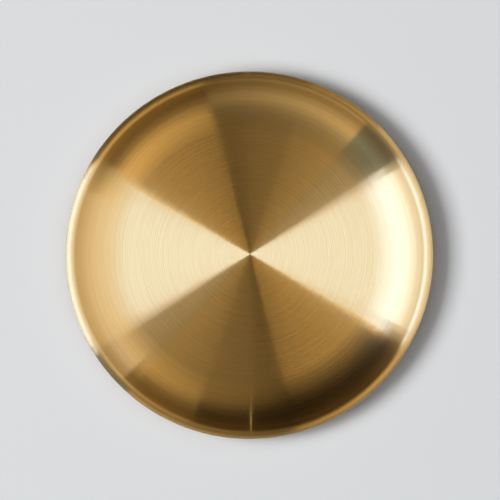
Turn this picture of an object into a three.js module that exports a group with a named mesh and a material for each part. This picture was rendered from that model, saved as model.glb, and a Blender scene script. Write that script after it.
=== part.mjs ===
// A shallow round plate of thin gold-coloured sheet steel.
// One disc of sheet is pressed to a flat base and a curved wall, and its edge is rolled round a wire hoop.
// Millimetres, +Z up. The origin is the middle of the underside, on the surface that the plate stands on.
import * as THREE from "three";

// Driving dimensions
const PLATE_DIAMETER = 170; // over the rolled edge
const PLATE_HEIGHT = 12; // from the table to the top of the rolled edge
const BASE_DIAMETER = 116; // flat disc that the plate stands on
const SHEET_THICKNESS = 0.7;
const WIRE_DIAMETER = 3.2; // hoop inside the rolled edge
const WIRE_CLEARANCE = 0.2; // between the wire and the sheet rolled round it
const SEAM_GAP = 0.3; // between the end of the roll and the wall that it turns back to
const WIRE_BUTT_GAP = 0.8; // between the two ends of the hoop

// Facets of the round surfaces
const FACETS_AROUND = 72;
const WALL_STEPS = 10;
const ROLL_STEPS = 18;
const WIRE_SIDES = 12;

// The rolled edge is a circle in section, touching the plate's full diameter and full height.
const rollInnerRadius = WIRE_DIAMETER / 2 + WIRE_CLEARANCE;
const rollOuterRadius = rollInnerRadius + SHEET_THICKNESS;
const rollCentre = new THREE.Vector2(PLATE_DIAMETER / 2 - rollOuterRadius, PLATE_HEIGHT - rollOuterRadius);

// The wall's inner face is an arc that leaves the base level and runs smoothly into the outside of the roll,
// so the two circles touch from outside: the distance between their centres is the sum of their radii.
const baseRadius = BASE_DIAMETER / 2;
const wallReach = rollCentre.x - baseRadius;
const rollRise = rollCentre.y - SHEET_THICKNESS;
const wallRadius =
  (wallReach ** 2 + rollRise ** 2 - rollOuterRadius ** 2) / (2 * (rollRise + rollOuterRadius));
const wallCentre = new THREE.Vector2(baseRadius, SHEET_THICKNESS + wallRadius);
const centreDistance = wallRadius + rollOuterRadius;

// Section angles, anticlockwise from the outward radius.
const wallFoot = -Math.PI / 2;
const wallEnd = wallFoot + Math.atan2(wallReach, wallCentre.y - rollCentre.y);
const rollStart = wallEnd + Math.PI;

// The roll ends where its outer corner comes within the seam gap of the wall's underside.
const seamDistance = wallRadius + SHEET_THICKNESS + SEAM_GAP;
const seamAngle = Math.acos(
  (centreDistance ** 2 + rollOuterRadius ** 2 - seamDistance ** 2) / (2 * centreDistance * rollOuterRadius),
);
const rollEnd = rollStart - (2 * Math.PI - seamAngle);

const goldSheet = new THREE.MeshStandardMaterial({ color: 0xc9a25c, roughness: 0.35, metalness: 1 });
const drawnWire = new THREE.MeshStandardMaterial({ color: 0xb9b8b4, roughness: 0.45, metalness: 1 });

// Points of an arc in the section, both ends included.
function arc(centre, radius, fromAngle, toAngle, steps) {
  return Array.from({ length: steps + 1 }, (_, i) => {
    const angle = THREE.MathUtils.lerp(fromAngle, toAngle, i / steps);
    return new THREE.Vector2(centre.x + radius * Math.cos(angle), centre.y + radius * Math.sin(angle));
  });
}

// One face of the wall from the base up to the roll: the inner face, or the underside a sheet's thickness out.
function wallFace(offset) {
  return arc(wallCentre, wallRadius + offset, wallFoot, wallEnd, WALL_STEPS);
}

// The sheet in section: out along the underside, round the inside of the roll to its cut end,
// back over the outside of the roll and down the wall's inner face to the middle.
function dishGeometry() {
  const rollInside = arc(rollCentre, rollInnerRadius, rollStart, rollEnd, ROLL_STEPS);
  const rollOutside = arc(rollCentre, rollOuterRadius, rollEnd, rollStart, ROLL_STEPS);
  const section = [
    new THREE.Vector2(0, 0),
    ...wallFace(SHEET_THICKNESS),
    ...rollInside.slice(1),
    ...rollOutside,
    ...wallFace(0).reverse().slice(1),
    new THREE.Vector2(0, SHEET_THICKNESS),
  ];
  return new THREE.LatheGeometry(section, FACETS_AROUND);
}

// The middle line of the wire: one turn about the Y axis, short of closing by the butt gap.
class HoopCurve extends THREE.Curve {
  constructor(radius, gap) {
    super();
    this.radius = radius;
    this.gapAngle = gap / radius;
  }

  getPoint(t, target = new THREE.Vector3()) {
    const angle = this.gapAngle / 2 + t * (2 * Math.PI - this.gapAngle);
    return target.set(this.radius * Math.cos(angle), 0, this.radius * Math.sin(angle));
  }
}

function rimWireGeometry() {
  const section = new THREE.Shape().absarc(0, 0, WIRE_DIAMETER / 2, 0, 2 * Math.PI);
  return new THREE.ExtrudeGeometry(section, {
    extrudePath: new HoopCurve(rollCentre.x, WIRE_BUTT_GAP),
    steps: FACETS_AROUND,
    curveSegments: WIRE_SIDES / 2, // a full circle is drawn as two such halves
  });
}

const dish = new THREE.Mesh(dishGeometry(), goldSheet);
dish.name = "dish";

const rimWire = new THREE.Mesh(rimWireGeometry(), drawnWire);
rimWire.name = "rim_wire";
rimWire.position.y = rollCentre.y;

// The section is turned about Y, so the group stands that axis up along Z.
const turned = new THREE.Group();
turned.rotation.x = Math.PI / 2;
turned.add(dish, rimWire);

const plate = new THREE.Group();
plate.add(turned);

export default plate;
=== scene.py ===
import math

import bpy
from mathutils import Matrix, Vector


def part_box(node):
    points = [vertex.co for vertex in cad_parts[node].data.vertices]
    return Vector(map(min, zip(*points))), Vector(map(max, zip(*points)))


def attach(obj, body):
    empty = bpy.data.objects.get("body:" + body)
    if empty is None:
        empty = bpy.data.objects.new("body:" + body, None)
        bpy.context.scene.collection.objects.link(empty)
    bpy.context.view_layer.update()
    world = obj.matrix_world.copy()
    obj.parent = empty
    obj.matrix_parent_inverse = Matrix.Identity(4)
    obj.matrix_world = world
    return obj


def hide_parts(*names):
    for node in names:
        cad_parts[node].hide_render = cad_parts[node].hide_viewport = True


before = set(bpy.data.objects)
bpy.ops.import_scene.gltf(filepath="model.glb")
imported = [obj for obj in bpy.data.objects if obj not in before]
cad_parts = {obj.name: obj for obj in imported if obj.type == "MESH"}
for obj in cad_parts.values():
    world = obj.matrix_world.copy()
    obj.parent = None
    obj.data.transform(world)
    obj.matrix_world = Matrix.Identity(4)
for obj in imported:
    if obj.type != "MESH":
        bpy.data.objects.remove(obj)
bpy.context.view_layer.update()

# Dish
# One disc of thin stainless sheet, pressed to a flat base and a curved wall, then brushed in circles on a
# spindle and coated gold. Its edge is rolled outward and under, round a wire, into a bead.
dish_low, dish_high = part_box("dish")
wire_low, wire_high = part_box("rim_wire")
plate_radius = dish_high.x
plate_height = dish_high.z
base_radius = 0.058
sheet_thickness = 0.0007
wire_radius = (wire_high.z - wire_low.z) / 2
wire_clearance = 0.0002
seam_gap = 0.0003
shoulder_radius = 0.0009
dish_facets = 256
wall_steps = 40
roll_steps = 16
sharp_angle = math.radians(50)

# In section the wall is an arc that leaves the base level and runs smoothly into the bead, whose circle
# touches the arc's circle from outside.
roll_inner = wire_radius + wire_clearance
roll_outer = roll_inner + sheet_thickness
roll_centre = (plate_radius - roll_outer, plate_height - roll_outer)
wall_reach = roll_centre[0] - base_radius
roll_rise = roll_centre[1] - sheet_thickness
wall_radius = (wall_reach**2 + roll_rise**2 - roll_outer**2) / (2 * (roll_rise + roll_outer))
wall_centre = (base_radius, sheet_thickness + wall_radius)
wall_foot = -math.pi / 2
wall_end = wall_foot + math.atan2(wall_reach, wall_centre[1] - roll_centre[1])
roll_start = wall_end + math.pi
centre_reach = wall_radius + roll_outer
seam_reach = wall_radius + sheet_thickness + seam_gap
seam_angle = math.acos((centre_reach**2 + roll_outer**2 - seam_reach**2) / (2 * centre_reach * roll_outer))
roll_end = roll_start - (2 * math.pi - seam_angle)

# The bead is trued against a roller, so its outer side is a little flatter than the circle and ends in a
# tight shoulder.
slant = math.sqrt(0.5)
crown_radius = (roll_outer - shoulder_radius * (1 - slant)) / slant
crown_centre = (roll_centre[0], plate_height - crown_radius)
shoulder_reach = (crown_radius - shoulder_radius) * slant
shoulder_centre = (crown_centre[0] + shoulder_reach, crown_centre[1] + shoulder_reach)


def arc(centre, radius, start, end, steps):
    """Points of an arc in the section, as (distance from the axis, height), with both ends."""
    angles = [start + (end - start) * i / steps for i in range(steps + 1)]
    return [(centre[0] + radius * math.cos(a), centre[1] + radius * math.sin(a)) for a in angles]


def wall_face(offset):
    """One face of the wall from the base up to the bead: the inner face, or one an offset below it."""
    return arc(wall_centre, wall_radius + offset, wall_foot, wall_end, wall_steps)


def roll_face(inset):
    """One face of the bead, from the wall over its top to its cut end: the outside, or an inset within."""
    inner_side = arc(roll_centre, roll_outer - inset, roll_start, math.pi / 2, roll_steps)
    crown = arc(crown_centre, crown_radius - inset, math.pi / 2, math.pi / 4, roll_steps)
    shoulder = arc(shoulder_centre, shoulder_radius - inset, math.pi / 4, 0, roll_steps)
    underside = arc(roll_centre, roll_outer - inset, 0, roll_end, roll_steps)
    return inner_side + crown[1:] + shoulder[1:] + underside


def turned(name, section, facets):
    """A section from axis to axis, turned about Z. Its map runs round the piece and along the section."""
    rings = section[1:-1]
    verts = [(0, 0, section[0][1]), (0, 0, section[-1][1])]
    for radius, height in rings:
        for k in range(facets):
            angle = 2 * math.pi * k / facets
            verts.append((radius * math.cos(angle), radius * math.sin(angle), height))
    lengths = [0.0]
    for here, there in zip(section, section[1:]):
        lengths.append(lengths[-1] + math.dist(here, there))
    along = [length / lengths[-1] for length in lengths]
    faces = []
    places = []
    for k in range(facets):
        left, right = k / facets, (k + 1) / facets
        after = (k + 1) % facets
        faces.append((0, 2 + after, 2 + k))
        places += [((left + right) / 2, along[0]), (right, along[1]), (left, along[1])]
        for i in range(len(rings) - 1):
            low, high = 2 + i * facets, 2 + (i + 1) * facets
            faces.append((low + k, low + after, high + after, high + k))
            near, far = along[i + 1], along[i + 2]
            places += [(left, near), (right, near), (right, far), (left, far)]
        last = 2 + (len(rings) - 1) * facets
        faces.append((last + k, last + after, 1))
        places += [(left, along[-2]), (right, along[-2]), ((left + right) / 2, along[-1])]
    mesh = bpy.data.meshes.new(name)
    mesh.from_pydata(verts, [], faces)
    layer = mesh.uv_layers.new(name="OFBake")
    layer.uv.foreach_set("vector", [value for place in places for value in place])
    return mesh


def placed(mesh):
    """An object of the mesh's name, shaded smooth but for its cut edges."""
    mesh.shade_smooth()
    mesh.set_sharp_from_angle(angle=sharp_angle)
    piece = bpy.data.objects.new(mesh.name, mesh)
    bpy.context.scene.collection.objects.link(piece)
    return piece


edge_support = 0.0004
section = [(0, 0), (base_radius - edge_support, 0)]
section += wall_face(sheet_thickness)
section += roll_face(sheet_thickness)[1:]
section += roll_face(0)[::-1]
section += wall_face(0)[-2::-1]
section += [(base_radius - edge_support, sheet_thickness), (0, sheet_thickness)]
dish = placed(turned("brushed_dish", section, dish_facets))

# The sheet was brushed before its edge was trimmed, so the brushing is centred a little off the plate's
# own centre. The brushed gloss turns about the middle of the mesh's texture space, which is put there.
brush_centre = (0.0004, 0.0005)
dish.data.use_auto_texspace = False
dish.data.texspace_location = (*brush_centre, plate_height / 2)
dish.data.texspace_size = (plate_radius, plate_radius, plate_height / 2)


class Value:
    """A shader socket that takes part in Python sums: each sum adds a Math node to the socket's tree."""

    def __init__(self, socket):
        self.socket = socket
        self.tree = socket.id_data

    @classmethod
    def node(cls, tree, kind, settings, sockets, output=0):
        """Adds a node with its settings, then a value or a link for each socket, and gives one output."""
        made = tree.nodes.new(kind)
        for name, value in settings.items():
            if name == "stops":
                while len(made.color_ramp.elements) < len(value):
                    made.color_ramp.elements.new(1.0)
                for stop, (place, colour) in zip(made.color_ramp.elements, value):
                    stop.position = place
                    stop.color = (*colour, 1)
            else:
                setattr(made, name, value)
        for name, value in sockets.items():
            if isinstance(value, cls):
                tree.links.new(value.socket, made.inputs[name])
            else:
                made.inputs[name].default_value = value
        return cls(made.outputs[output]) if made.outputs else None

    def beside(self, name):
        """Another output of the same node."""
        return Value(self.socket.node.outputs[name])

    def maths(self, operation, first, second=0.0):
        """A Math node on one or two values."""
        return self.node(self.tree, "ShaderNodeMath", {"operation": operation}, {0: first, 1: second})

    def __add__(self, other):
        return self.maths("ADD", self, other)

    def __sub__(self, other):
        return self.maths("SUBTRACT", self, other)

    def __mul__(self, other):
        return self.maths("MULTIPLY", self, other)

    def __truediv__(self, other):
        return self.maths("DIVIDE", self, other)

    def __pow__(self, other):
        return self.maths("POWER", self, other)

    def __radd__(self, other):
        return self.maths("ADD", other, self)

    def __rsub__(self, other):
        return self.maths("SUBTRACT", other, self)

    def __rmul__(self, other):
        return self.maths("MULTIPLY", other, self)


def new_tree(material):
    """The material's empty node tree."""
    material.use_nodes = True
    material.node_tree.nodes.clear()
    return material.node_tree


def mixed(factor, first, second):
    """The first colour where the factor is 0, and the second where it is 1."""
    sockets = {0: factor, 6: first, 7: second}
    return Value.node(factor.tree, "ShaderNodeMix", {"data_type": "RGBA"}, sockets, 2)


def place_about(tree, centre):
    """The place on the piece as x, y and z from a centre, and its distance from the centre's own axis."""
    place = Value.node(tree, "ShaderNodeTexCoord", {}, {}, "Object")
    across = Value.node(tree, "ShaderNodeSeparateXYZ", {}, {"Vector": place}, "X")
    x, y, z = across - centre[0], across.beside("Y") - centre[1], across.beside("Z")
    return x, y, z, (x * x + y * y) ** 0.5


def rise(value, start, end):
    """From 0 to 1 with soft ends, as the value goes from start to end."""
    sockets = {"Value": value, "From Min": start, "From Max": end}
    return Value.node(value.tree, "ShaderNodeMapRange", {"interpolation_type": "SMOOTHSTEP"}, sockets)


def ring_lines(tree, spacing, arcs, centre):
    """Noise drawn out along circles about Z: lines a spacing apart, broken into this many arcs a turn."""
    x, y, z, radius = place_about(tree, centre)
    spread = arcs / (2 * math.pi)
    parts = {"X": radius / spacing, "Y": x / radius * spread, "Z": y / radius * spread}
    vector = Value.node(tree, "ShaderNodeCombineXYZ", {}, parts)
    sockets = {"Vector": vector, "W": z / spacing, "Scale": 1.0, "Detail": 1.0}
    return Value.node(tree, "ShaderNodeTexNoise", {"noise_dimensions": "4D"}, sockets)


gold_colour = (0.68, 0.515, 0.285, 1)
deep_gold = (0.41, 0.30, 0.155, 1)
bright_gold = (0.95, 0.73, 0.415, 1)
gold = bpy.data.materials.new("brushed_gold")
tree = new_tree(gold)
wide_spacing = 0.0011
groove_spacing = 0.0007
wide_share = 0.1
long_share = 0.35
short_share = 0.1
groove_depth = 0.00008
wide_lines = ring_lines(tree, wide_spacing, 4, brush_centre)
long_lines = ring_lines(tree, groove_spacing, 7, brush_centre)
short_lines = ring_lines(tree, groove_spacing, 110, brush_centre)
lines = wide_lines * wide_share + long_lines * long_share + (1 - wide_share - long_share) / 2
height = long_lines + short_lines * short_share
bump = Value.node(tree, "ShaderNodeBump", {}, {"Strength": 1.0, "Distance": groove_depth, "Height": height})

# The brushing grows finer up the wall and is coarse again on the bead. The coat's gloss, in which the lines
# show, is mixed with the sharper gloss of the grooves.
finer_up_wall = (0.062, 0.077)
coarse_on_bead = (0.079, 0.0815)
coat_roughness = 0.28
groove_roughness = 0.175
finer_by = 0.07
groove_share = 0.72
from_axis = place_about(tree, (0, 0))[3]
fineness = rise(from_axis, *finer_up_wall) * (1 - rise(from_axis, *coarse_on_bead))
coat = Value.node(
    tree,
    "ShaderNodeBsdfPrincipled",
    {},
    {
        "Base Color": mixed(lines, deep_gold, bright_gold),
        "Metallic": 1.0,
        "Roughness": coat_roughness,
        "Anisotropic": 1.0,
        "Anisotropic Rotation": 0.25,
        "Normal": bump,
    },
)
grooves = Value.node(
    tree,
    "ShaderNodeBsdfAnisotropic",
    {},
    {
        "Color": gold_colour,
        "Roughness": groove_roughness - fineness * finer_by,
        "Anisotropy": 0.92,
        "Normal": bump,
    },
)
finish = Value.node(tree, "ShaderNodeMixShader", {}, {"Fac": groove_share, 1: coat, 2: grooves})
Value.node(tree, "ShaderNodeOutputMaterial", {}, {"Surface": finish})
dish.data.materials.append(gold)
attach(dish, "root")
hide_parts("dish")

# Rim wire
# A hoop of bare drawn steel wire inside the bead, cut to length and bent round until its ends nearly meet.
# The sheet rolled round it holds it, and it keeps the bead round.
wire_butt_gap = 0.0008
wire_rings = 192
wire_sides = 20


def hoop(name, centre, thickness, gap, rings, sides):
    """A round wire bent to an open ring about Z, with its gap at +X and flat ends."""
    gap_angle = gap / centre[0]
    verts = []
    for i in range(rings + 1):
        angle = gap_angle / 2 + (2 * math.pi - gap_angle) * i / rings
        for j in range(sides):
            turn = 2 * math.pi * j / sides
            radius = centre[0] + thickness * math.cos(turn)
            height = centre[1] + thickness * math.sin(turn)
            verts.append((radius * math.cos(angle), radius * math.sin(angle), height))
    faces = []
    for i in range(rings):
        for j in range(sides):
            low, high = i * sides, (i + 1) * sides
            after = (j + 1) % sides
            faces.append((low + j, high + j, high + after, low + after))
    faces.append(tuple(range(sides)))
    faces.append(tuple(rings * sides + j for j in range(sides))[::-1])
    mesh = bpy.data.meshes.new(name)
    mesh.from_pydata(verts, [], faces)
    return mesh


wire = placed(hoop("wire_hoop", roll_centre, wire_radius, wire_butt_gap, wire_rings, wire_sides))
dull_steel = (0.36, 0.35, 0.33, 1)
clean_steel = (0.62, 0.61, 0.59, 1)
drawn_steel = bpy.data.materials.new("drawn_steel")
tree = new_tree(drawn_steel)
draw_spacing = 0.00025
draw_depth = 0.00002
draw_lines = ring_lines(tree, draw_spacing, 40, (0, 0))
sockets = {"Strength": 1.0, "Distance": draw_depth, "Height": draw_lines}
bump = Value.node(tree, "ShaderNodeBump", {}, sockets)
sockets = {
    "Base Color": mixed(draw_lines, dull_steel, clean_steel),
    "Metallic": 1.0,
    "Roughness": 0.32 + draw_lines * 0.25,
    "Normal": bump,
}
steel = Value.node(tree, "ShaderNodeBsdfPrincipled", {}, sockets)
Value.node(tree, "ShaderNodeOutputMaterial", {}, {"Surface": steel})
wire.data.materials.append(drawn_steel)
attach(wire, "root")
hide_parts("rim_wire")

# Table
# A pale matt table top that the plate lies on. It is no part of the plate.
table_half = 4.0
table_colour = (0.8, 0.8, 0.8, 1)
table_mesh = bpy.data.meshes.new("table")
table_corners = [(-1, -1), (1, -1), (1, 1), (-1, 1)]
table_mesh.from_pydata([(table_half * i, table_half * j, 0) for i, j in table_corners], [], [(0, 1, 2, 3)])
table = placed(table_mesh)
table_finish = bpy.data.materials.new("table_top")
tree = new_tree(table_finish)
sockets = {"Base Color": table_colour, "Roughness": 1.0, "Specular IOR Level": 0.0}
matt = Value.node(tree, "ShaderNodeBsdfPrincipled", {}, sockets)
Value.node(tree, "ShaderNodeOutputMaterial", {}, {"Surface": matt})
table_mesh.materials.append(table_finish)

# Light
# The metal mirrors a tall window on the left between two amber strips, a narrow lit gap, and a ring of
# studio cards, pale on the right and dim between. The matt table has soft lamps of its own: a wide and a
# narrow one on the window's side, and one above.
def lamp(name, place, rotation, width, height, radiance, colour):
    """A rectangular lamp that shines from its place with this radiance."""
    light = bpy.data.lights.new(name, "AREA")
    light.shape = "RECTANGLE"
    light.size = width
    light.size_y = height
    light.energy = radiance * math.pi * width * height
    light.color = colour
    made = bpy.data.objects.new(name, light)
    made.location = place
    made.rotation_euler = rotation
    bpy.context.scene.collection.objects.link(made)
    return made


def upright_lamp(name, side, distance, low, high, right, left, radiance, colour):
    """An upright lamp on one side of the plate, as wide and high as these degrees seen from the plate."""
    turn = math.radians(side)
    edges = [distance * math.tan(math.radians(angle)) for angle in (low, high, right, left)]
    bottom, top, right, left = edges
    across = (right - left) / 2
    x = distance * math.cos(turn) + across * math.sin(turn)
    y = distance * math.sin(turn) - across * math.cos(turn)
    facing = (math.radians(90), 0, turn + math.radians(90))
    return lamp(name, (x, y, (bottom + top) / 2), facing, right + left, top - bottom, radiance, colour)


pale, sunny, amber = (1.0, 0.89, 0.72), (1.0, 0.79, 0.45), (1.0, 0.62, 0.2)
cream, tan, grey = (1.0, 0.87, 0.6), (1.0, 0.70, 0.29), (0.85, 1.0, 0.92)
sky, cool_sky, soft_sky = (0.81, 1.06, 1.26), (0.42, 0.74, 1.52), (0.62, 0.91, 1.36)
window_side = 180
gap_side = 90.6
mirror_distance = 2.0
mirrored = [
    upright_lamp("top_pane", window_side, mirror_distance, 69, 80.5, 30.0, 28.5, 3.65, sky),
    upright_lamp("middle_pane", window_side, mirror_distance, 47, 69, 29.3, 32.2, 2.3, cool_sky),
    upright_lamp("low_pane", window_side, mirror_distance, 18, 47, 25.0, 30.3, 1.72, soft_sky),
    upright_lamp("side_pane", window_side, mirror_distance, 40, 54, -31.8, 33.4, 2.2, sky),
    upright_lamp("right_strip", window_side, mirror_distance, 62, 80.5, 32.2, -30.0, 2.1, amber),
    upright_lamp("left_strip", window_side, mirror_distance, 66, 80.5, -28.5, 30.2, 2.5, amber),
    upright_lamp("gap", gap_side, mirror_distance, 2, 40, 0.25, 0.25, 0.75, sunny),
]
for piece in mirrored:
    piece.visible_diffuse = False
table_light = (0.985, 1.0, 1.02)
lamp_distance = 3.0
top_lamp_height = 6.0
top_lamp_width = 10.0
table_lamps = [
    upright_lamp("wide_lamp", window_side, lamp_distance, 34, 59, 22, 27, 7.5, table_light),
    upright_lamp("side_lamp", window_side, lamp_distance, 34, 59, 8, 8, 8.9, table_light),
    lamp("top_lamp", (0, 0, top_lamp_height), (0, 0, 0), top_lamp_width, top_lamp_width, 0.61, table_light),
]
for piece in table_lamps:
    piece.visible_glossy = False

# Each card has its edges in degrees from +X, anticlockwise, and for its top, middle, foot and skirt a tint
# and the level at both edges.
dark = (grey, 0.0, 0.0)
bright = (pale, 0.8, 0.8)
sill = (pale, 1.3, 1.3)
cards = [
    (-180, -149.5, dark, bright, bright, sill),
    (-149.5, -146.8, dark, (pale, 1.4, 1.4), (pale, 0.9, 0.3), (pale, 0.7, 0.1)),
    (-146.8, -131, dark, (grey, 0.15, 0.15), (grey, 0.35, 0.45), (grey, 0.03, 0.05)),
    (-131, -75, dark, (grey, 0.1, 0.03), (sunny, 1.25, 0.38), (tan, 0.33, 0.12)),
    (-75, -33, (tan, 0.98, 1.6), (tan, 1.05, 2.2), (tan, 0.17, 0.1), dark),
    (-33, -22, (cream, 2.25, 2.25), (cream, 1.15, 1.15), (sunny, 0.65, 1.2), (tan, 0.0, 0.4)),
    (-22, 32, (cream, 2.25, 2.2), (cream, 1.15, 1.15), (pale, 1.15, 1.15), (sunny, 0.78, 0.78)),
    (32, 44, (tan, 0.85, 0.85), (sunny, 1.2, 1.2), (pale, 1.05, 1.05), (sunny, 0.5, 0.5)),
    (44, 48, (tan, 0.85, 0.85), (sunny, 1.2, 1.2), (tan, 0.5, 0.5), dark),
    (48, 71, (tan, 0.6, 0.46), (tan, 1.46, 0.82), (tan, 0.27, 0.19), dark),
    (71, gap_side, (tan, 0.62, 0.65), (tan, 0.45, 0.25), dark, dark),
    (gap_side, 106, (tan, 0.65, 0.4), (tan, 0.1, 0.0), dark, dark),
    (106, 149.8, (tan, 0.05, 0.0), dark, dark, dark),
    (149.8, 153, dark, (sunny, 2.2, 1.6), (tan, 0.3, 0.5), (tan, 0.2, 0.3)),
    (153, 180, dark, bright, bright, sill),
]
edge_blur = 0.15


def ring(level):
    """Ramp stops round the studio for one level of the cards."""
    stops = []
    for row in cards:
        tint, *strengths = row[2 + level]
        edges = (row[0] + edge_blur, row[1] - edge_blur)
        for degrees, strength in zip(edges, strengths):
            stops.append(((degrees + 180) / 360, tuple(strength * part for part in tint)))
    return stops[1:-1]


# Degrees from straight up over which the ceiling and the levels of the cards run into one another.
ceiling_ends = (4, 14)
middle_starts = (12, 30)
foot_starts = (32, 55)
skirt_starts = (64, 80)
ceiling_colour = (0.28, 0.186, 0.062, 1)
world = bpy.data.worlds.new("studio")
bpy.context.scene.world = world
world.cycles_visibility.diffuse = False
tree = new_tree(world)
direction = Value.node(tree, "ShaderNodeTexCoord", {}, {}, "Generated")
x = Value.node(tree, "ShaderNodeSeparateXYZ", {}, {"Vector": direction}, "X")
y, z = x.beside("Y"), x.beside("Z")
turn = x.maths("ARCTAN2", y, x) / (2 * math.pi) + 0.5
polar = x.maths("ARCCOSINE", z) * math.degrees(1)
rings = [Value.node(tree, "ShaderNodeValToRGB", {"stops": ring(i)}, {"Fac": turn}) for i in range(4)]
top, middle, foot, skirt = rings
studio = mixed(rise(polar, *middle_starts), top, middle)
studio = mixed(rise(polar, *foot_starts), studio, foot)
studio = mixed(rise(polar, *skirt_starts), studio, skirt)
studio = mixed(rise(polar, *ceiling_ends), ceiling_colour, studio)
background = Value.node(tree, "ShaderNodeBackground", {}, {"Color": studio, "Strength": 1.0})
Value.node(tree, "ShaderNodeOutputWorld", {}, {"Surface": background})

# Camera
# It looks straight down, with the plate a little below the middle of the picture.
picture_pixels = 500
plate_pixels = 367.5
plate_left_pixels = 0.7
plate_drop_pixels = 5.2
focal_length = 400.0
sensor_width = 36.0
pixel = 2 * plate_radius / plate_pixels
camera_data = bpy.data.cameras.new("camera")
camera_data.lens = focal_length
camera_data.sensor_width = sensor_width
camera = bpy.data.objects.new("camera", camera_data)
camera_height = picture_pixels * pixel * focal_length / sensor_width
camera.location = (plate_left_pixels * pixel, plate_drop_pixels * pixel, roll_centre[1] + camera_height)
bpy.context.scene.collection.objects.link(camera)
bpy.context.scene.camera = camera
bpy.context.scene.view_settings.view_transform = "Standard"
